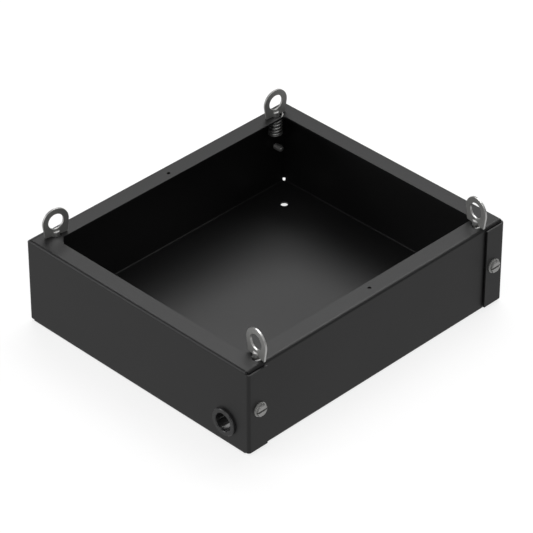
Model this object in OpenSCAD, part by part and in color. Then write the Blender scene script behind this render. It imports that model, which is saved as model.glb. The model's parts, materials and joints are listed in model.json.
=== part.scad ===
// Control board housing: a folded sheet tray with four sprung eye latches,
// four corner screws and a snap bushing for the cable.
// Millimetres, Z up, X along the long side, origin under the middle of the floor.

/* [Housing] */
// Length over the two side walls
housing_length = 235; // [180:1:400]
// Width over the front and back walls
housing_width = 200.4; // [150:1:360]
// Height from the floor's underside to the top of the rim
housing_height = 64.8; // [50:1:140]
// Thickness of the sheet
sheet_thickness = 1.2; // [0.9:0.1:1.6]
// Inside radius of every bend
bend_radius = 1.0; // [0.6:0.1:2]
// Width of the rim, from the outer face of the wall
rim_width = 13.5; // [12.5:0.1:24]
// Gap between a front or back wall's end and the side wall
wall_end_gap = 0.3; // [0.1:0.1:1]

/* [Corners] */
// Length of a corner tab, from the outer face of the side wall
tab_length = 16.5; // [14.5:0.5:40]
// Gap between a corner tab and the wall behind it
tab_gap = 0.6; // [0.1:0.1:1.5]
// Drop from the top of the rim to the top edge of a tab
tab_drop = 2.0; // [1:0.1:4]
// Diameter of the round relief where two floor bends meet
floor_relief_diameter = 2.2; // [1.8:0.1:4]
// Diameter of the round relief where two rim bends meet
rim_relief_diameter = 1.8; // [1:0.1:3]
// Clip across the rim's inner corner, front left
front_left_clip = 3.0; // [0.5:0.1:8]
// Clip across the rim's inner corner, front right
front_right_clip = 3.0; // [0.5:0.1:8]
// Clip across the rim's inner corner, back right
back_right_clip = 1.3; // [0.5:0.1:8]
// Clip across the rim's inner corner, back left
back_left_clip = 5.3; // [0.5:0.1:8]

/* [Floor and rim holes] */
// Diameter of the floor's mounting holes
floor_hole_diameter = 5.2; // [3:0.1:9]
// Distance of a floor hole from the outer faces of both walls
floor_hole_inset = 22.7; // [15:0.1:45]
// Diameter of the cover screw holes in the rim
cover_hole_diameter = 2.6; // [1.5:0.1:4]
// Distance of a cover screw hole from the outer face of its wall
cover_hole_inset = 8.2; // [6:0.1:11]

/* [Cable bushing] */
// Bore of the bushing
bushing_bore = 12.8; // [8:0.1:16]
// Wall of the bushing's barrel
bushing_wall = 1.4; // [1:0.1:2]
// Diameter of the bushing's head
bushing_head_diameter = 19.6; // [19:0.1:26]
// Thickness of the bushing's head
bushing_head_thickness = 1.9; // [1:0.1:3]
// Rounding of the head's edges, cut as a bevel
bushing_edge = 0.5; // [0.2:0.1:0.8]
// Length of the barrel behind the head
bushing_barrel_length = 8.5; // [6:0.1:14]
// Height of the barbs above the barrel
bushing_barb = 0.7; // [0.4:0.1:1.2]
// Number of fingers, an even number
bushing_fingers = 8; // [4:2:12]
// Width of the slots between the fingers
bushing_slot = 1.0; // [0.6:0.1:1.4]
// Radial gap between the barrel and its hole
bushing_clearance = 0.15; // [0.05:0.05:0.4]
// Distance of the bushing's middle from the front wall's outer face
bushing_inset = 19.5; // [15:0.5:40]
// Height of the bushing's middle
bushing_height = 16.8; // [15:0.1:30]

/* [Corner screws] */
// Diameter of the screw's shank over the thread
screw_diameter = 4.8; // [3:0.1:6]
// Length of the shank below the head
screw_length = 9.5; // [7:0.1:20]
// Diameter of the washer face formed on the head
screw_washer_diameter = 10.2; // [9:0.1:12]
// Thickness of the washer face
screw_washer_thickness = 0.8; // [0.5:0.1:2]
// Width of the hexagon across its flats
screw_hex_width = 7.9; // [6.5:0.1:8.5]
// Height of the hexagon above the washer face
screw_hex_height = 2.1; // [1.8:0.1:5]
// Width of the driver slot
screw_slot_width = 1.4; // [0.8:0.1:2]
// Depth of the driver slot
screw_slot_depth = 1.4; // [0.8:0.1:1.8]
// Bevel at the top of the hexagon and at the shank's tip
screw_bevel = 0.5; // [0.2:0.1:0.9]
// Distance of a screw from the outer face of the side wall
screw_inset = 9.5; // [8.5:0.1:10.5]
// Height of the screws
screw_height = 33; // [15:0.5:45]
// Radial gap between a screw and the hole in its tab
screw_tab_clearance = 0.3; // [0.1:0.05:0.6]
// Radial gap between a screw and its hole in the wall
screw_wall_clearance = 0.05; // [0.02:0.01:0.1]

/* [Eye plates] */
// Distance of a latch from the outer face of the side wall
latch_side_inset = 17.0; // [15:0.5:30]
// Distance of a latch from the outer face of the front or back wall
latch_end_inset = 8.2; // [7.6:0.1:8.4]
// Thickness of an eye plate
plate_thickness = 1.5; // [1:0.1:2.2]
// Outer radius of the eye
eye_outer_radius = 9.75; // [8.5:0.05:13]
// Radius of the hole in the eye
eye_hole_radius = 5.65; // [4:0.05:7]
// Height of the hole's middle above the rim
eye_hole_height = 10.5; // [9.8:0.1:16]
// Width of the plate at its foot
plate_foot_width = 16.5; // [12:0.1:17]
// Gap between the plate's foot and the rim
plate_clearance = 0.05; // [0.02:0.01:0.3]
// Turn of the two front plates, measured from the X axis
front_latch_turn = -98; // [-100:1:-90]
// Turn of the back right plate, measured from the X axis
back_right_turn = -5; // [-12:1:0]
// Turn of the back left plate, which stands the other way round
back_left_turn = 169; // [166:1:180]

/* [Latch stems] */
// Diameter of the stem
stem_diameter = 5.2; // [4.2:0.1:5.6]
// Height of the stem's top above the rim
stem_top_height = 3.3; // [1.5:0.1:4]
// Bevel round the stem's top and tip
stem_bevel = 0.4; // [0.2:0.1:1]
// Gap on each side of the plate in the stem's slot
stem_slot_clearance = 0.02; // [0.01:0.01:0.1]
// Length of the stem between the clip's groove and the bevel at its tip
stem_tail = 0.3; // [0.2:0.1:3]
// Radial gap between the stem and its hole in the rim
stem_hole_clearance = 0.6; // [0.4:0.1:1.2]

/* [Latch springs] */
// Diameter of the spring wire
wire_diameter = 1.25; // [0.8:0.05:1.4]
// Mean radius of the coils
spring_radius = 4.25; // [4.1:0.05:4.5]
// Length of the spring between the rim and its washer
spring_length = 12.5; // [11:0.1:18]
// Number of open turns between the closed ends
spring_turns = 3.5; // [2.5:0.5:4]
// Gap between the wires of a closed end
closed_turn_gap = 0.05; // [0.02:0.01:0.2]
// Radius of the end turn that comes up through the rim
end_turn_radius = 5.2; // [4.9:0.05:5.3]
// Height of the end turn's wire centre above the rim, at the wire's tip
end_turn_height = 0.4; // [0.1:0.1:0.6]
// Gap between the end turn and the notch in the rim
notch_clearance = 0.1; // [0.05:0.05:0.2]
// Shift of the notch's middle from the latch's axis, beyond the end turn's own step outwards
notch_offset = 0.75; // [0.5:0.05:1]

/* [Latch washers and clips] */
// Radial step of the washer beyond the spring
washer_margin = 0.3; // [0.1:0.1:1]
// Thickness of the washer under the spring
washer_thickness = 0.7; // [0.5:0.1:1.5]
// Radial gap between the washer and the stem
washer_clearance = 0.3; // [0.1:0.05:0.4]
// Thickness of the retaining clip
clip_thickness = 0.6; // [0.4:0.1:1]
// Radial gap between the stem and the clip's rim
clip_gap = 0.6; // [0.3:0.1:1]
// Width of the clip's rim
clip_rim = 1.2; // [0.8:0.1:1.6]
// Depth of the clip's groove in the stem
groove_depth = 0.6; // [0.4:0.1:0.9]
// Gap between the clip's prongs and the bottom of the groove
clip_prong_clearance = 0.03; // [0.01:0.01:0.1]
// Gap above the clip in its groove
groove_play = 0.05; // [0.02:0.01:0.1]
// Width of the clip's prongs
clip_prong_width = 1.6; // [1:0.1:2]

/* [Hidden] */
$fn = 64;

black_paint = "#2b2b2b";
zinc_steel = "#9a9a98";
black_plastic = "#1f1f1f";

// A cut runs past the surface by this much
over = 1;
half_length = housing_length / 2;
half_width = housing_width / 2;
outer_bend = bend_radius + sheet_thickness;
// Flat part of the floor, up to where the bends begin
flat_x = half_length - outer_bend;
flat_y = half_width - outer_bend;
// Heights where the walls' bends end and begin
wall_low = outer_bend;
wall_high = housing_height - outer_bend;
rim_underside = housing_height - sheet_thickness;
// The corner tabs stand outside the front and back walls
tab_face = half_width + tab_gap + sheet_thickness;
tab_bend_y = tab_face - outer_bend;
tab_high = housing_height - tab_drop;
wall_end_x = half_length - sheet_thickness - wall_end_gap;

// Latch: heights from the rim's top, downwards
latch_x = half_length - latch_side_inset;
latch_y = half_width - latch_end_inset;
stem_radius = stem_diameter / 2;
stem_hole_radius = stem_radius + stem_hole_clearance;
wire_radius = wire_diameter / 2;
washer_top = rim_underside - spring_length;
clip_top = washer_top - washer_thickness;
groove_floor = clip_top - clip_thickness;
stem_tip = groove_floor - stem_tail - stem_bevel;
plate_foot = housing_height + plate_clearance;
// The notch is an arc about a point off the latch's axis, so it widens with the end turn
notch_shift = end_turn_radius - spring_radius + notch_offset;
// Share of the shift by which the notch's radius is smaller than the end turn's reach
notch_share = 0.88;
notch_radius = end_turn_radius + wire_radius + notch_clearance - notch_share * notch_shift;
groove_radius = stem_radius - groove_depth;

// Angles along the spring wire, from the plate's own direction
wire_end = -12;
wire_out = -30;
climb_middle = -37;
climb_start = -66;
notch_start = -75;
notch_end = 2;
notch_way = -5;
closed_arc = 270;
closed_ramp = 90;
top_closed = climb_start - closed_arc;
open_end = top_closed - closed_ramp;
open_start = open_end - 360 * spring_turns;
bottom_closed = open_start - closed_ramp;
wire_start = bottom_closed - closed_arc;
wire_step = 18;
wire_sides = 8;
wire_rings = round((wire_end - wire_start) / wire_step);
closed_rise = wire_diameter + closed_turn_gap;
wire_bottom = washer_top + wire_radius;
wire_top = rim_underside - wire_radius;

// Bushing
bushing_y = half_width - bushing_inset;
barrel_radius = bushing_bore / 2 + bushing_wall;

// Screws
screw_x = half_length - screw_inset;

// A quarter of a bend's ring, between the X and Y axes
module quarter_bend() {
    intersection() {
        difference() {
            circle(r = outer_bend);
            circle(r = bend_radius);
        }
        square(outer_bend + over);
    }
}

// A wall's section: the floor bend, the wall, the rim bend and the rim. The wall's outer face is at reach
module wall_section(reach) {
    translate([reach - outer_bend, wall_low]) mirror([0, 1]) quarter_bend();
    translate([reach - sheet_thickness, wall_low]) square([sheet_thickness, wall_high - wall_low]);
    translate([reach - outer_bend, wall_high]) quarter_bend();
    translate([reach - rim_width, rim_underside]) square([rim_width - outer_bend, sheet_thickness]);
}

// A side wall with its bends, the length of the floor's flat part
module side_wall() {
    translate([0, flat_y, 0]) rotate([90, 0, 0])
        linear_extrude(2 * flat_y) wall_section(half_length);
}

// The front or back wall, between the two side walls
module end_wall() {
    intersection() {
        translate([-wall_end_x, 0, 0]) rotate([90, 0, 90])
            linear_extrude(2 * wall_end_x) wall_section(half_width);
        union() {
            // The floor's bend is no longer than the floor
            translate([-flat_x, 0, 0]) cube([2 * flat_x, half_width, wall_low]);
            translate([-wall_end_x, 0, wall_low])
                cube([2 * wall_end_x, half_width, housing_height - wall_low]);
        }
    }
}

// The end of a side wall, bent round the corner into a tab over the end wall
module corner_tab() {
    translate([half_length - sheet_thickness, flat_y, wall_low])
        cube([sheet_thickness, tab_bend_y - flat_y, tab_high - wall_low]);
    translate([flat_x, tab_bend_y, wall_low]) intersection() {
        difference() {
            cylinder(r = outer_bend, h = tab_high - wall_low);
            translate([0, 0, -over]) cylinder(r = bend_radius, h = housing_height);
        }
        cube([outer_bend + over, outer_bend + over, housing_height]);
    }
    translate([half_length - tab_length, tab_face - sheet_thickness, wall_low])
        cube([tab_length - outer_bend, sheet_thickness, tab_high - wall_low]);
}

// A quarter disc drawn out along each of two walls, kept only where the two overlap
module crossed_bends(radius) {
    intersection() {
        rotate([90, 0, 0]) translate([0, 0, -outer_bend - over])
            linear_extrude(2 * (outer_bend + over)) circle(r = radius);
        rotate([0, 90, 0]) translate([0, 0, -outer_bend - over])
            linear_extrude(2 * (outer_bend + over)) circle(r = radius);
        cube(outer_bend + over);
    }
}

// The rim's welded corner: the two rim bends meet in a mitre, and a clip crosses the inner corner
module rim_corner(clip) {
    inner_x = half_length - rim_width;
    inner_y = half_width - rim_width;
    translate([inner_x, inner_y, rim_underside]) linear_extrude(sheet_thickness)
        polygon([[-clip, 0], [0, -clip], [clip, 0], [0, clip]]);
    translate([flat_x, flat_y, wall_high]) difference() {
        crossed_bends(outer_bend);
        crossed_bends(bend_radius);
    }
}

// A latch's hole in the rim, with the notch for the end turn of its spring
module latch_hole(turn) {
    notch_middle = (notch_start + notch_end) / 2;
    translate([0, 0, rim_underside - over]) linear_extrude(sheet_thickness + 2 * over) {
        circle(r = stem_hole_radius);
        rotate(turn) intersection() {
            translate(polar(notch_shift, notch_way)) circle(r = notch_radius);
            polygon([[0, 0], polar(2 * notch_radius, notch_start),
                polar(2 * notch_radius, notch_middle), polar(2 * notch_radius, notch_end)]);
        }
    }
}

function polar(radius, angle) = [radius * cos(angle), radius * sin(angle)];

// Puts its children at one of the four latches: side and end are -1 or 1
module at_latch(side, end) {
    translate([side * latch_x, end * latch_y, 0]) rotate(latch_turn(side, end)) children();
}

function latch_turn(side, end) = end < 0 ? front_latch_turn : side < 0 ? back_left_turn : back_right_turn;

// Puts its children at one of the four corner screws, pointing outwards along Z
module at_screw(side, end) {
    translate([side * screw_x, end * tab_face, screw_height]) rotate([-end * 90, 0, 0]) children();
}

module housing_tray() {
    color(black_paint) difference() {
        union() {
            translate([-flat_x, -flat_y, 0]) cube([2 * flat_x, 2 * flat_y, sheet_thickness]);
            for (side = [0, 1]) mirror([side, 0, 0]) side_wall();
            for (end = [0, 1]) mirror([0, end, 0]) end_wall();
            for (side = [0, 1], end = [0, 1]) mirror([side, 0, 0]) mirror([0, end, 0]) corner_tab();
            mirror([1, 0, 0]) mirror([0, 1, 0]) rim_corner(front_left_clip);
            mirror([0, 1, 0]) rim_corner(front_right_clip);
            rim_corner(back_right_clip);
            mirror([1, 0, 0]) rim_corner(back_left_clip);
        }
        for (side = [-1, 1], end = [-1, 1]) {
            translate([side * wall_end_x, end * (half_width - sheet_thickness - wall_end_gap), -over])
                cylinder(d = floor_relief_diameter, h = wall_low + sheet_thickness + over);
            translate([side * (half_length - rim_relief_diameter / 2),
                end * (half_width - sheet_thickness / 2), tab_high])
                cylinder(d = rim_relief_diameter, h = tab_drop + over);
            translate([side * (half_length - floor_hole_inset), end * (half_width - floor_hole_inset), 0])
                translate([0, 0, -over]) cylinder(d = floor_hole_diameter, h = sheet_thickness + 2 * over);
            translate([side * latch_x, end * latch_y, 0]) latch_hole(latch_turn(side, end));
            at_screw(side, end) {
                translate([0, 0, -sheet_thickness - tab_gap / 2])
                    cylinder(d = screw_diameter + 2 * screw_tab_clearance, h = sheet_thickness + tab_gap);
                translate([0, 0, -2 * sheet_thickness - tab_gap - over])
                    cylinder(d = screw_diameter + 2 * screw_wall_clearance,
                        h = sheet_thickness + tab_gap / 2 + over);
            }
        }
        for (end = [-1, 1]) translate([0, end * (half_width - cover_hole_inset), rim_underside - over])
            cylinder(d = cover_hole_diameter, h = sheet_thickness + 2 * over);
        translate([-half_length - over, -bushing_y, bushing_height]) rotate([0, 90, 0])
            cylinder(r = barrel_radius + bushing_clearance, h = sheet_thickness + 2 * over);
    }
}

// A slotted hexagon screw with a washer face, its seat at z = 0 and its head above
module corner_screw() {
    head_top = screw_washer_thickness + screw_hex_height;
    hex_radius = screw_hex_width / 2 / cos(30);
    difference() {
        union() {
            cylinder(d = screw_washer_diameter, h = screw_washer_thickness);
            intersection() {
                cylinder(r = hex_radius, h = head_top, $fn = 6);
                // The bevel takes only the hexagon's corners
                rotate_extrude() polygon([[0, 0], [hex_radius, 0], [hex_radius, head_top - screw_bevel],
                    [hex_radius - 2 * screw_bevel, head_top], [0, head_top]]);
            }
            rotate_extrude() polygon([[0, 0], [screw_diameter / 2, 0],
                [screw_diameter / 2, screw_bevel - screw_length],
                [screw_diameter / 2 - screw_bevel, -screw_length], [0, -screw_length]]);
        }
        translate([-screw_washer_diameter / 2, -screw_slot_width / 2, head_top - screw_slot_depth])
            cube([screw_washer_diameter, screw_slot_width, screw_slot_depth + over]);
    }
}

module corner_screws() {
    color(zinc_steel) for (side = [-1, 1], end = [-1, 1]) at_screw(side, end) corner_screw();
}

// A snap bushing: a head outside the wall, and barbed fingers behind it
module snap_bushing() {
    bore_radius = bushing_bore / 2;
    head_radius = bushing_head_diameter / 2;
    barb_seat = -sheet_thickness - bushing_clearance;
    barb_radius = barrel_radius + bushing_barb;
    slot_start = -sheet_thickness;
    color(black_plastic) translate([-half_length, -bushing_y, bushing_height]) rotate([0, -90, 0])
        difference() {
            rotate_extrude() polygon([[bore_radius, -bushing_barrel_length],
                [barrel_radius, -bushing_barrel_length], [barb_radius, barb_seat - bushing_barb],
                [barb_radius, barb_seat], [barrel_radius, barb_seat], [barrel_radius, 0], [head_radius, 0],
                [head_radius, bushing_head_thickness - bushing_edge],
                [head_radius - bushing_edge, bushing_head_thickness],
                [bore_radius + bushing_edge, bushing_head_thickness],
                [bore_radius, bushing_head_thickness - bushing_edge]]);
            for (finger = [0 : bushing_fingers / 2 - 1]) rotate(360 / bushing_fingers * (finger + 0.5))
                translate([-barb_radius - over, -bushing_slot / 2, -bushing_barrel_length - over])
                    cube([2 * (barb_radius + over), bushing_slot,
                        bushing_barrel_length + over + slot_start]);
        }
}

// The flat eye plate: a ring whose sides run straight down to the foot
module eye_plate(side, end) {
    foot = plate_foot_width / 2;
    drop = eye_hole_height - plate_clearance;
    reach = sqrt(foot * foot + drop * drop);
    // Angle of the point where a line from the foot's corner touches the ring
    touch = acos(eye_outer_radius / reach) - atan2(drop, foot);
    side_point = polar(eye_outer_radius, touch);
    color(zinc_steel) at_latch(side, end)
        translate([0, plate_thickness / 2, housing_height + eye_hole_height]) rotate([90, 0, 0])
            linear_extrude(plate_thickness) difference() {
                union() {
                    circle(r = eye_outer_radius);
                    polygon([[-foot, -drop], [foot, -drop], side_point, [-side_point[0], side_point[1]]]);
                }
                circle(r = eye_hole_radius);
            }
}

// The stem: slotted at the top to hold the plate, grooved at the tip for its clip
module eye_stem(side, end) {
    stem_top = housing_height + stem_top_height;
    slot_half = plate_thickness / 2 + stem_slot_clearance;
    color(zinc_steel) at_latch(side, end) difference() {
        rotate_extrude() polygon([[0, stem_tip], [stem_radius - stem_bevel, stem_tip],
            [stem_radius, stem_tip + stem_bevel], [stem_radius, groove_floor],
            [groove_radius, groove_floor], [groove_radius, clip_top + groove_play],
            [stem_radius, clip_top + groove_play], [stem_radius, stem_top - stem_bevel],
            [stem_radius - stem_bevel, stem_top], [0, stem_top]]);
        translate([-stem_diameter, -slot_half, plate_foot])
            cube([2 * stem_diameter, 2 * slot_half, stem_top_height + over]);
    }
}

// Height of the wire's middle at an angle along the spring
function wire_height(angle) = lookup(angle, [[wire_start, wire_bottom], [bottom_closed, wire_bottom],
    [open_start, wire_bottom + closed_rise], [open_end, wire_top - closed_rise], [top_closed, wire_top],
    [climb_start, wire_top], [climb_middle, housing_height - wire_radius / 3],
    [wire_end, housing_height + end_turn_height]]);

// Distance of the wire's middle from the stem's axis at an angle along the spring
function wire_reach(angle) = lookup(angle, [[climb_start, spring_radius], [wire_out, end_turn_radius]]);

// One point on the wire's skin
function wire_point(ring, side_index) =
    let (angle = wire_start + (wire_end - wire_start) * ring / wire_rings,
        around = 360 * side_index / wire_sides,
        reach = wire_reach(angle) + wire_radius * cos(around))
    [reach * cos(angle), reach * sin(angle), wire_height(angle) + wire_radius * sin(around)];

// A compression spring with closed ends; its upper end comes up through the notch in the rim
module latch_spring(side, end) {
    points = [for (ring = [0 : wire_rings], corner = [0 : wire_sides - 1]) wire_point(ring, corner)];
    skin = [for (ring = [0 : wire_rings - 1], corner = [0 : wire_sides - 1])
        let (next = (corner + 1) % wire_sides, base = ring * wire_sides)
        [base + corner, base + next, base + wire_sides + next, base + wire_sides + corner]];
    first_cap = [for (corner = [wire_sides - 1 : -1 : 0]) corner];
    last_cap = [for (corner = [0 : wire_sides - 1]) wire_rings * wire_sides + corner];
    color(zinc_steel) at_latch(side, end)
        polyhedron(points = points, faces = concat(skin, [first_cap, last_cap]), convexity = 10);
}

module seat_washer(side, end) {
    color(zinc_steel) at_latch(side, end) translate([0, 0, clip_top]) difference() {
        cylinder(r = spring_radius + wire_radius + washer_margin, h = washer_thickness);
        translate([0, 0, -over])
            cylinder(r = stem_radius + washer_clearance, h = washer_thickness + 2 * over);
    }
}

// An open clip whose three prongs grip the bottom of the stem's groove
module retaining_clip(side, end) {
    ring_radius = stem_radius + clip_gap;
    outer = ring_radius + clip_rim;
    prong_radius = groove_radius + clip_prong_clearance;
    color(zinc_steel) at_latch(side, end) translate([0, 0, groove_floor]) linear_extrude(clip_thickness)
        difference() {
            union() {
                difference() {
                    circle(r = outer);
                    circle(r = ring_radius);
                }
                for (prong = [90, 180, 270]) rotate(prong) translate([0, -clip_prong_width / 2])
                    square([(outer + ring_radius) / 2, clip_prong_width]);
            }
            circle(r = prong_radius);
            translate([0, -prong_radius]) square([outer + over, 2 * prong_radius]);
        }
}

housing_tray();
corner_screws();
snap_bushing();
eye_plate(-1, -1);  // eye_plate_front_left
eye_plate(1, -1);  // eye_plate_front_right
eye_plate(1, 1);  // eye_plate_back_right
eye_plate(-1, 1);  // eye_plate_back_left
eye_stem(-1, -1);  // eye_stem_front_left
eye_stem(1, -1);  // eye_stem_front_right
eye_stem(1, 1);  // eye_stem_back_right
eye_stem(-1, 1);  // eye_stem_back_left
latch_spring(-1, -1);  // latch_spring_front_left
latch_spring(1, -1);  // latch_spring_front_right
latch_spring(1, 1);  // latch_spring_back_right
latch_spring(-1, 1);  // latch_spring_back_left
seat_washer(-1, -1);  // seat_washer_front_left
seat_washer(1, -1);  // seat_washer_front_right
seat_washer(1, 1);  // seat_washer_back_right
seat_washer(-1, 1);  // seat_washer_back_left
retaining_clip(-1, -1);  // retaining_clip_front_left
retaining_clip(1, -1);  // retaining_clip_front_right
retaining_clip(1, 1);  // retaining_clip_back_right
retaining_clip(-1, 1);  // retaining_clip_back_left
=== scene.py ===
import json
import math

import bmesh
import bpy
from mathutils import Matrix, Vector

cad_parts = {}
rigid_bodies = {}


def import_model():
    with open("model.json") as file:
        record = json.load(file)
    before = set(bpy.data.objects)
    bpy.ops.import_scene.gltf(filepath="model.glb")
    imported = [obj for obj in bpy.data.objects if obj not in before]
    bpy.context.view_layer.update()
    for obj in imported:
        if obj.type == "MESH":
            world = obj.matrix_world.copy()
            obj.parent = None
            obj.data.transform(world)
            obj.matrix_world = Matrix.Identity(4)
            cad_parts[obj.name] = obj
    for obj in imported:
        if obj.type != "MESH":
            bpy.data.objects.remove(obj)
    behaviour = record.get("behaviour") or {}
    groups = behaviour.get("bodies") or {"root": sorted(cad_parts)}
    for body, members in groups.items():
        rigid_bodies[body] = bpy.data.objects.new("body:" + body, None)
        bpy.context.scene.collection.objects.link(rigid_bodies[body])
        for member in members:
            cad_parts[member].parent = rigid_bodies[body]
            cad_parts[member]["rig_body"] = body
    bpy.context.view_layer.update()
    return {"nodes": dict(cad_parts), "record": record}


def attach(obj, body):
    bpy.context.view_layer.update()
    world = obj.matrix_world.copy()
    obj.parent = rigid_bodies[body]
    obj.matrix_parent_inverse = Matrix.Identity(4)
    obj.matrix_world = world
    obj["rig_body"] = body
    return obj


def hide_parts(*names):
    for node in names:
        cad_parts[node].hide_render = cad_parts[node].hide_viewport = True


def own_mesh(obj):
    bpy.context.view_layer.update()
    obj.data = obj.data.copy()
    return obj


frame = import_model()
nodes = frame["nodes"]
bodyOf = {n: o["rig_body"] for n, o in nodes.items()}
slotOf = {s["node"]: s["material_slot"] for s in frame["record"]["subparts"]}
print("frame loaded:", len(nodes), "nodes")

# Each latch: its axis on the rim, the turn of its eye plate, and how strongly a painted highlight lightens
# the plate's cut edges at that corner
latches = {
    "front_left": {"x": -0.1005, "y": -0.092, "turn": -98, "paintedHighlight": 1.0},
    "front_right": {"x": 0.1005, "y": -0.092, "turn": -98, "paintedHighlight": 1.0},
    "back_right": {"x": 0.1005, "y": 0.092, "turn": -5, "paintedHighlight": 0.1},
    "back_left": {"x": -0.1005, "y": 0.092, "turn": 169, "paintedHighlight": 0.5},
}


# One value in a shader; sums with it add Math nodes
class Strand:
    def __init__(self, finish, socket):
        self.finish = finish
        self.socket = socket

    def sum(self, operation, first, second):
        return self.finish.node("ShaderNodeMath", {"operation": operation}, {0: first, 1: second})

    def __add__(self, other):
        return self.sum("ADD", self, other)

    def __radd__(self, other):
        return self.sum("ADD", other, self)

    def __sub__(self, other):
        return self.sum("SUBTRACT", self, other)

    def __rsub__(self, other):
        return self.sum("SUBTRACT", other, self)

    def __mul__(self, other):
        return self.sum("MULTIPLY", self, other)

    def __rmul__(self, other):
        return self.sum("MULTIPLY", other, self)


def grey(level):
    return (level, level, level, 1)


# A material and its nodes
class Finish:
    def __init__(self, name):
        self.material = bpy.data.materials.new(name)
        self.material.use_nodes = True
        self.tree = self.material.node_tree
        self.tree.nodes.clear()
        self.output = self.tree.nodes.new("ShaderNodeOutputMaterial")

    # Any node: its settings are set first, then its sockets get values or links
    def node(self, kind, settings=None, sockets=None, out=0):
        made = self.tree.nodes.new(kind)
        for key, value in (settings or {}).items():
            if key == "stops":
                for stop, (place, level) in zip(made.color_ramp.elements, value):
                    stop.position = place
                    stop.color = grey(level)
            else:
                setattr(made, key, value)
        for key, value in (sockets or {}).items():
            if isinstance(value, Strand):
                self.tree.links.new(value.socket, made.inputs[key])
            else:
                made.inputs[key].default_value = value
        return Strand(self, made.outputs[out])

    def surface(self, shader):
        self.tree.links.new(shader.socket, self.output.inputs["Surface"])
        return self.material

    # A noise on the object's own coordinates, drawn out where a stretch is below 1
    def grain(self, scale, detail=2, stretch=(1, 1, 1)):
        place = self.node("ShaderNodeTexCoord", out="Object")
        where = self.node("ShaderNodeMapping", {}, {"Vector": place, "Scale": stretch})
        return self.node("ShaderNodeTexNoise", {}, {"Vector": where, "Scale": scale, "Detail": detail})

    # A mix of two colours: a Mix node takes them in its sockets 6 and 7, and gives the mix in its output 2
    def shade(self, factor, dark, light):
        dark, light = (c if isinstance(c, Strand) else (*c, 1) for c in (dark, light))
        return self.node("ShaderNodeMix", {"data_type": "RGBA"}, {0: factor, 6: dark, 7: light}, out=2)

    def bump(self, strength, depth, height):
        return self.node("ShaderNodeBump", {}, {"Strength": strength, "Distance": depth, "Height": height})


# How far a grain swings about its middle, which is 0.5
def swing(grain, amount):
    return amount * (grain - 0.5)


# Satin powder coat: a faint cloud of shade, the paint's peel and its fine specks
paint = {"dark": (0.005, 0.005, 0.0052), "light": (0.007, 0.007, 0.0072), "roughness": 0.45,
         "cloud": 18, "cloudShade": 0.6, "cloudRough": 0.06,
         "speck": 5200, "speckShade": 0.4, "speckRough": 0.05, "speckHeight": 0.35,
         "peel": 900, "depth": 0.00002, "bump": 0.5}


def powderCoat():
    finish = Finish("powder coat")
    cloud = finish.grain(paint["cloud"], detail=3)
    peel = finish.grain(paint["peel"])
    speck = finish.grain(paint["speck"], detail=1)
    shade = paint["cloudShade"] * cloud + paint["speckShade"] * speck
    rough = paint["roughness"] + swing(cloud, paint["cloudRough"]) + swing(speck, paint["speckRough"])
    height = peel + paint["speckHeight"] * speck
    body = finish.node("ShaderNodeBsdfPrincipled", {}, {
        "Base Color": finish.shade(shade, paint["dark"], paint["light"]),
        "Roughness": rough,
        "Normal": finish.bump(paint["bump"], paint["depth"], height),
    })
    return finish.surface(body)


# Punched, tumbled and zinc plated parts: a soft brush, a faint cloud of shade, and small dull marks
steel = {"brush": 2600, "brushShade": 0.5, "cloud": 160, "cloudShade": 0.5, "cloudRough": 0.07,
         "marks": 700, "markStops": [(0.42, 0), (0.62, 1)], "markRough": 0.05, "markHeight": 0.6,
         "darkest": 0.86, "depth": 0.000006, "bump": 0.4}

# Where a piece marks its cut edges, those are smoother than its faces and lighter in colour: partly the
# paler sheared steel, partly a painted highlight. A face is marked where less than this share of its
# normal goes across the plate
cutEdgeHighlight = {"layer": "cut edge", "tone": (0.66, 0.66, 0.65), "roughness": 0.36, "across": 0.5}


def satinSteel(name, tone, roughness, stretch=(1, 1, 1)):
    finish = Finish(name)
    # The marked amount blends in the cut edges' lighter tone: partly paler sheared steel, partly a painted
    # highlight
    cut = finish.node("ShaderNodeAttribute", {"attribute_name": cutEdgeHighlight["layer"]}, out="Fac")
    brush = finish.grain(steel["brush"], stretch=stretch)
    marks = finish.grain(steel["marks"], detail=3)
    cloud = finish.grain(steel["cloud"])
    dull = finish.node("ShaderNodeValToRGB", {"stops": steel["markStops"]}, {"Fac": marks})
    dark = tuple(steel["darkest"] * t for t in tone)
    face = finish.shade(steel["cloudShade"] * cloud + steel["brushShade"] * brush, dark, tone)
    faceRough = roughness + swing(cloud, steel["cloudRough"]) + steel["markRough"] * dull
    body = finish.node("ShaderNodeBsdfPrincipled", {}, {
        "Base Color": finish.shade(cut, face, cutEdgeHighlight["tone"]),
        "Metallic": 1.0,
        "Roughness": faceRough - (roughness - cutEdgeHighlight["roughness"]) * cut,
        "Normal": finish.bump(steel["bump"], steel["depth"], brush + steel["markHeight"] * marks),
    })
    return finish.surface(body)


# Moulded nylon, smooth with a fine grain
nylon = {"dark": (0.018, 0.018, 0.019), "light": (0.025, 0.025, 0.026), "roughness": 0.22,
         "grain": 1500, "grainRough": 0.06, "depth": 0.00001, "bump": 0.25}


def blackNylon():
    finish = Finish("black nylon")
    grain = finish.grain(nylon["grain"])
    body = finish.node("ShaderNodeBsdfPrincipled", {}, {
        "Base Color": finish.shade(grain, nylon["dark"], nylon["light"]),
        "Roughness": nylon["roughness"] + swing(grain, nylon["grainRough"]),
        "Normal": finish.bump(nylon["bump"], nylon["depth"], grain),
    })
    return finish.surface(body)


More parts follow.
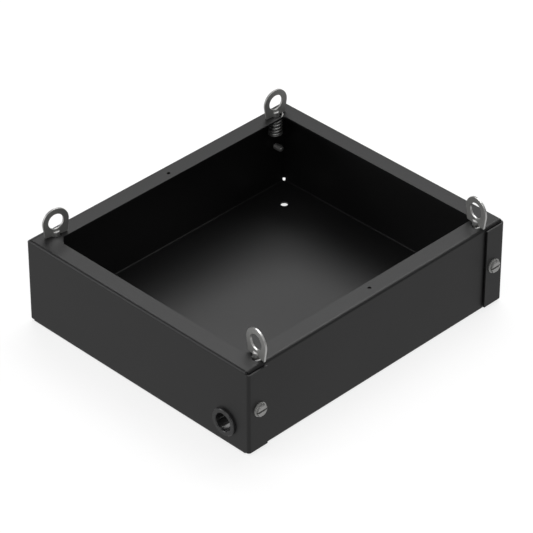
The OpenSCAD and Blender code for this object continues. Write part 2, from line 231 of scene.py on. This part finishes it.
# The tone and roughness of each steel. The plates are brushed upwards, and the stems level
steels = {
    "zinc_screw": {"name": "zinc plated screw", "tone": (0.52, 0.52, 0.51), "roughness": 0.47},
    "plate_steel": {"name": "eye plate steel", "tone": (0.46, 0.46, 0.45), "roughness": 0.64,
                    "stretch": (1, 1, 0.06)},
    "stem_steel": {"name": "stem steel", "tone": (0.66, 0.66, 0.65), "roughness": 0.45,
                   "stretch": (0.08, 0.08, 1)},
    "spring_wire": {"name": "spring wire", "tone": (0.58, 0.58, 0.57), "roughness": 0.41},
    "zinc_washer": {"name": "zinc plated washer", "tone": (0.52, 0.52, 0.51), "roughness": 0.40},
}

finishes = {slot: satinSteel(**look) for slot, look in steels.items()}
finishes["black_powder_coat"] = powderCoat()
finishes["black_nylon"] = blackNylon()
print("finishes made:", len(finishes))


# Makes a piece, ties it to its body, gives it its slot's finish, and hides the nodes that it stands for.
# The weighted normals let a flat face set the shading of the eased edges round it
def addPiece(name, bm, body, slotName, instead, sharp=25):
    mesh = bpy.data.meshes.new(name)
    bm.to_mesh(mesh)
    bm.free()
    for face in mesh.polygons:
        face.use_smooth = True
    mesh.set_sharp_from_angle(angle=math.radians(sharp))
    piece = bpy.data.objects.new(name, mesh)
    bpy.context.scene.collection.objects.link(piece)
    mesh.materials.append(finishes[slotName])
    weigh = piece.modifiers.new("weigh normals", "WEIGHTED_NORMAL")
    weigh.keep_sharp = True
    weigh.weight = 80
    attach(piece, body)
    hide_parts(*instead)
    return piece


# Points closer than merge are joined, and so are faces that lie within flat degrees of each other.
# Then edges of more than sharp degrees are eased, in a few segments
easing = {"merge": 0.000002, "flat": 0.3, "sharp": 25, "segments": 2}

# How wide each kind of piece is eased
edgeEase = {"housing_tray": 0.00018, "snap_bushing": 0.00012, "eye_plate": 0.00022, "eye_stem": 0.0001,
            "seat_washer": 0.0001, "retaining_clip": 0.00008}


# A node's own mesh with its sharp edges eased, as paint, plating or tumbling leaves them
def easedMesh(node, width):
    bm = bmesh.new()
    bm.from_mesh(nodes[node].data)
    bmesh.ops.remove_doubles(bm, verts=bm.verts, dist=easing["merge"])
    bmesh.ops.dissolve_limit(bm, angle_limit=math.radians(easing["flat"]), verts=bm.verts, edges=bm.edges)
    sharp = math.radians(easing["sharp"])
    edges = [e for e in bm.edges if e.is_manifold and e.calc_face_angle(0) > sharp]
    bmesh.ops.bevel(bm, geom=edges, offset=width, offset_type="OFFSET", affect="EDGES",
                    segments=easing["segments"], profile=0.5, material=-1, clamp_overlap=True)
    return bm


# Marks the faces that stand across the plate's plane with the latch's painted highlight, which lightens
# their colour
def markCutEdgeHighlights(bm, latch):
    turn = math.radians(latch["turn"])
    across = Vector((-math.sin(turn), math.cos(turn), 0))
    edgeHighlight = bm.faces.layers.float.new(cutEdgeHighlight["layer"])
    bm.normal_update()
    for face in bm.faces:
        face[edgeHighlight] = latch["paintedHighlight"] if abs(face.normal.dot(across)) < cutEdgeHighlight["across"] else 0.0


def easedPiece(node):
    kind = next(k for k in edgeEase if node.startswith(k))
    bm = easedMesh(node, edgeEase[kind])
    if kind == "eye_plate":
        markCutEdgeHighlights(bm, latches[node.removeprefix("eye_plate_")])
    addPiece(node.replace("_", "-") + "-eased", bm, bodyOf[node], slotOf[node], [node])


for node in nodes:
    if not node.startswith(("corner_screws", "latch_spring")):
        easedPiece(node)
print("sheet, bushing, plates, stems, washers and clips eased")


# A ring of points is drawn along a shank or a wire: these find its edges, grow the next ring, and close it
def ringEdges(bm, ring):
    return [e for e in bm.edges if e.verts[0] in ring and e.verts[1] in ring]


def grownRing(bm, ring):
    grown = bmesh.ops.extrude_edge_only(bm, edges=ringEdges(bm, ring))["geom"]
    return [g for g in grown if isinstance(g, bmesh.types.BMVert)]


def closeRing(bm, ring):
    bmesh.ops.edgeloop_fill(bm, edges=ringEdges(bm, ring))


# Corner screws: each head and its neck keep the node's shape, and the shank gets a thread. Lengths
# are from the head's seat. The threaded shank starts inside the wall's hole, just before the neck ends.
# The thread's ridge stands on the core as high as the crest, its foot sunk in, with a gap at each root
screw = {"x": 0.108, "z": 0.033, "seat": 0.102, "ease": 0.00012, "sharp": 32, "neck": 0.0022,
         "start": 0.002, "length": 0.0095, "tip": 0.0006, "tipShare": 0.62, "steps": 28,
         "core": 0.00192, "crest": 0.0024, "sunk": 0.0001, "pitch": 0.00106, "rootGap": 0.00012}


def threadedShank(bm, place):
    start, tip, length, core = (screw[k] for k in ("start", "tip", "length", "core"))
    ring = bmesh.ops.create_circle(bm, segments=screw["steps"], radius=core)["verts"]
    bmesh.ops.translate(bm, verts=ring, vec=(0, 0, -start))
    made = list(ring)
    for shift, share in ((-length + tip + start, 1), (-tip, screw["tipShare"])):
        ring = grownRing(bm, ring)
        bmesh.ops.translate(bm, verts=ring, vec=(0, 0, shift))
        bmesh.ops.scale(bm, verts=ring, vec=(share, share, 1))
        made += ring
    closeRing(bm, ring)
    # The thread's ridge, drawn up the shank as a screw line
    half = screw["pitch"] / 2 - screw["rootGap"]
    low = -length + tip + half
    root = core - screw["sunk"]
    places = ((root, 0, low - half), (screw["crest"], 0, low), (root, 0, low + half))
    points = [bm.verts.new(p) for p in places]
    profile = [bm.edges.new(points[:2]), bm.edges.new(points[1:])]
    turns = int((length - start - tip - half) / screw["pitch"])
    before = set(bm.verts)
    bmesh.ops.spin(bm, geom=profile + points, cent=(0, 0, 0), axis=(0, 0, 1),
                   angle=math.tau * turns, steps=turns * screw["steps"],
                   dvec=(0, 0, screw["pitch"] / screw["steps"]), use_merge=False)
    made += points + [v for v in bm.verts if v not in before]
    bmesh.ops.transform(bm, matrix=place, verts=made)


def cornerScrews():
    bm = easedMesh("corner_screws", screw["ease"])
    for end in (-1, 1):
        faces = [f for f in bm.faces if f.calc_center_median().y * end > 0]
        around = list(dict.fromkeys(v for f in faces for v in f.verts))
        around += list(dict.fromkeys(e for f in faces for e in f.edges)) + faces
        bmesh.ops.bisect_plane(bm, geom=around, plane_co=(0, end * (screw["seat"] - screw["neck"]), 0),
                               plane_no=(0, end, 0), clear_inner=True)
    for side in (-1, 1):
        for end in (-1, 1):
            seat = Matrix.Translation((side * screw["x"], end * screw["seat"], screw["z"]))
            threadedShank(bm, seat @ Matrix.Rotation(-end * math.pi / 2, 4, "X"))
    bmesh.ops.recalc_face_normals(bm, faces=bm.faces)
    addPiece("corner-screws", bm, "housing", "zinc_screw", ["corner_screws"], sharp=screw["sharp"])


cornerScrews()
print("screws threaded")


# Springs: the coils up to the rim get a mesh of their own, and the end turn above it is a piece apart.
# Each row of turns is a place along the wire: its angle, its height and its distance from the stem's axis
spring = {"wire": 0.000625, "sides": 14, "step": 10, "sharp": 60,
          "rim": 0.06362, "bottom": 0.0511, "lift": 0.004,
          "turns": [(-2046, 0.051725, 0.00425), (-1776, 0.051725, 0.00425), (-1686, 0.053025, 0.00425),
                    (-426, 0.061675, 0.00425), (-336, 0.062975, 0.00425), (-66, 0.062975, 0.00425),
                    (-60, 0.06318, 0.00436), (-48, 0.063979, 0.004725), (-37, 0.064592, 0.005015),
                    (-30, 0.06478, 0.00515), (-12, 0.0652, 0.0052)]}


# The wire's section, upright at the lower end of the wire
def wireRing(bm):
    angle, height, reach = spring["turns"][0]
    turn = Matrix.Rotation(math.radians(angle), 4, "Z")
    stand = turn @ Matrix.Translation((reach, 0, height)) @ Matrix.Rotation(math.pi / 2, 4, "X")
    return bmesh.ops.create_circle(bm, cap_ends=True, segments=spring["sides"], radius=spring["wire"],
                                   matrix=stand)["verts"]


def drawWire(bm):
    ring = wireRing(bm)
    for here, there in zip(spring["turns"], spring["turns"][1:]):
        sweep, rise, widen = (after - before for before, after in zip(here, there))
        steps = math.ceil(sweep / spring["step"])
        turn = math.radians(sweep) / steps
        widen /= steps
        for step in range(steps):
            ring = grownRing(bm, ring)
            bmesh.ops.rotate(bm, verts=ring, cent=(0, 0, 0), matrix=Matrix.Rotation(turn, 3, "Z"))
            facing = math.radians(here[0]) + turn * (step + 1)
            shift = (widen * math.cos(facing), widen * math.sin(facing), rise / steps)
            bmesh.ops.translate(bm, verts=ring, vec=shift)
    closeRing(bm, ring)
    bmesh.ops.recalc_face_normals(bm, faces=bm.faces)


# The wire above the rim's cut, or the wire below it, closed where it is cut
def springPart(whole, above):
    bm = bmesh.new()
    bm.from_mesh(whole)
    cut = bmesh.ops.bisect_plane(bm, geom=bm.verts[:] + bm.edges[:] + bm.faces[:],
                                 plane_co=(0, 0, spring["rim"]), plane_no=(0, 0, 1),
                                 clear_inner=above, clear_outer=not above)["geom_cut"]
    bmesh.ops.edgeloop_fill(bm, edges=[c for c in cut if isinstance(c, bmesh.types.BMEdge)])
    return bm


def addSprings():
    bm = bmesh.new()
    drawWire(bm)
    whole = bpy.data.meshes.new("spring wire")
    bm.to_mesh(whole)
    bm.free()
    for corner, latch in latches.items():
        turn = Matrix.Rotation(math.radians(latch["turn"]), 4, "Z")
        place = Matrix.Translation((latch["x"], latch["y"], 0)) @ turn
        node = "latch_spring_" + corner
        for label, above in (("coils", False), ("end-turn", True)):
            bm = springPart(whole, above)
            bmesh.ops.transform(bm, matrix=place, verts=bm.verts)
            piece = addPiece("spring-%s-%s" % (label, corner), bm, "housing", "spring_wire", [node],
                             sharp=spring["sharp"])
            if not above:
                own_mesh(piece)
    bpy.data.meshes.remove(whole)


addSprings()
print("springs wound")


# The floor lights the object as a pale grey sheet. The camera sees a darker grey under a glow, which is
# white wherever no shadow falls, and reflections see one even brightness. The rest is the floor's half
# width, how far the panels stand, and the width of a panel
studio = {"floor": 0.6, "shadowed": 0.28, "glow": 0.78, "inReflections": 0.56,
          "reach": 6, "far": 3.2, "panel": 1.76}


def paleFloor():
    bm = bmesh.new()
    bmesh.ops.create_grid(bm, x_segments=1, y_segments=1, size=studio["reach"])
    mesh = bpy.data.meshes.new("floor")
    bm.to_mesh(mesh)
    bm.free()
    floor = bpy.data.objects.new("floor", mesh)
    bpy.context.scene.collection.objects.link(floor)
    finish = Finish("pale floor")
    matt = finish.node("ShaderNodeBsdfDiffuse", {}, {"Color": grey(studio["floor"])})
    shadowed = finish.node("ShaderNodeBsdfDiffuse", {}, {"Color": grey(studio["shadowed"])})
    glow = finish.node("ShaderNodeEmission", {}, {"Strength": studio["glow"]})
    white = finish.node("ShaderNodeAddShader", {}, {0: shadowed, 1: glow})
    rays = ("Is Camera Ray", "Is Glossy Ray", "Is Transmission Ray")
    seen, gloss, through = (finish.node("ShaderNodeLightPath", out=ray) for ray in rays)
    pale = finish.node("ShaderNodeEmission", {}, {"Strength": studio["inReflections"]})
    lit = finish.node("ShaderNodeMixShader", {}, {0: gloss, 1: matt, 2: pale})
    shown = finish.node("ShaderNodeMixShader", {}, {0: seen + through, 1: lit, 2: white})
    mesh.materials.append(finish.surface(shown))


# Soft panels round the object: the way to each and its rise over the floor in degrees, how bright its
# face is, and its width where that isn't the usual one
panels = {
    "key": {"turn": 45, "rise": 52, "level": 3.1},
    "overhead": {"turn": 45, "rise": 72, "level": 2.0},
    "overheadFront": {"turn": 225, "rise": 70, "level": 1.8},
    "backLeft": {"turn": 135, "rise": 15, "level": 2.9},
    "overheadLeft": {"turn": 135, "rise": 70, "level": 0.5},
    "left": {"turn": 180, "rise": 30, "level": 1.2},
    "right": {"turn": 0, "rise": 30, "level": 1.0},
    "front": {"turn": 270, "rise": 30, "level": 0.7},
    "frontLeft": {"turn": 225, "rise": 15, "level": 1.2},
    "frontRight": {"turn": 315, "rise": 38, "level": 0.65},
    "glint": {"turn": 0, "rise": 57, "level": 3.0, "size": 1.2},
}


def softPanel(name, panel):
    light = bpy.data.lights.new(name, "AREA")
    light.shape = "SQUARE"
    light.size = panel.get("size", studio["panel"])
    light.energy = panel["level"] * math.pi * light.size ** 2
    holder = bpy.data.objects.new(name, light)
    bpy.context.scene.collection.objects.link(holder)
    turn, rise = math.radians(panel["turn"]), math.radians(panel["rise"])
    way = Vector((math.cos(turn) * math.cos(rise), math.sin(turn) * math.cos(rise), math.sin(rise)))
    holder.location = way * studio["far"]
    holder.rotation_euler = (-way).to_track_quat("-Z", "Y").to_euler()


def darkRoom():
    world = bpy.data.worlds.new("room")
    world.use_nodes = True
    world.node_tree.nodes["Background"].inputs["Color"].default_value = grey(0)
    bpy.context.scene.world = world


# The photo's camera: its place, its tilt in degrees, and its lens and sensor in millimetres
view = {"place": (-1.22956, -1.22956, 1.27479), "tilt": (54.512, 0, -45), "lens": 220.69, "sensor": 36}


def photoCamera():
    optics = bpy.data.cameras.new("camera")
    optics.lens = view["lens"]
    optics.sensor_width = view["sensor"]
    camera = bpy.data.objects.new("camera", optics)
    bpy.context.scene.collection.objects.link(camera)
    camera.location = view["place"]
    camera.rotation_euler = [math.radians(a) for a in view["tilt"]]
    bpy.context.scene.camera = camera


paleFloor()
for name, panel in panels.items():
    softPanel(name, panel)
darkRoom()
photoCamera()
bpy.context.scene.view_settings.view_transform = "Standard"
print("floor, lamps and camera placed")
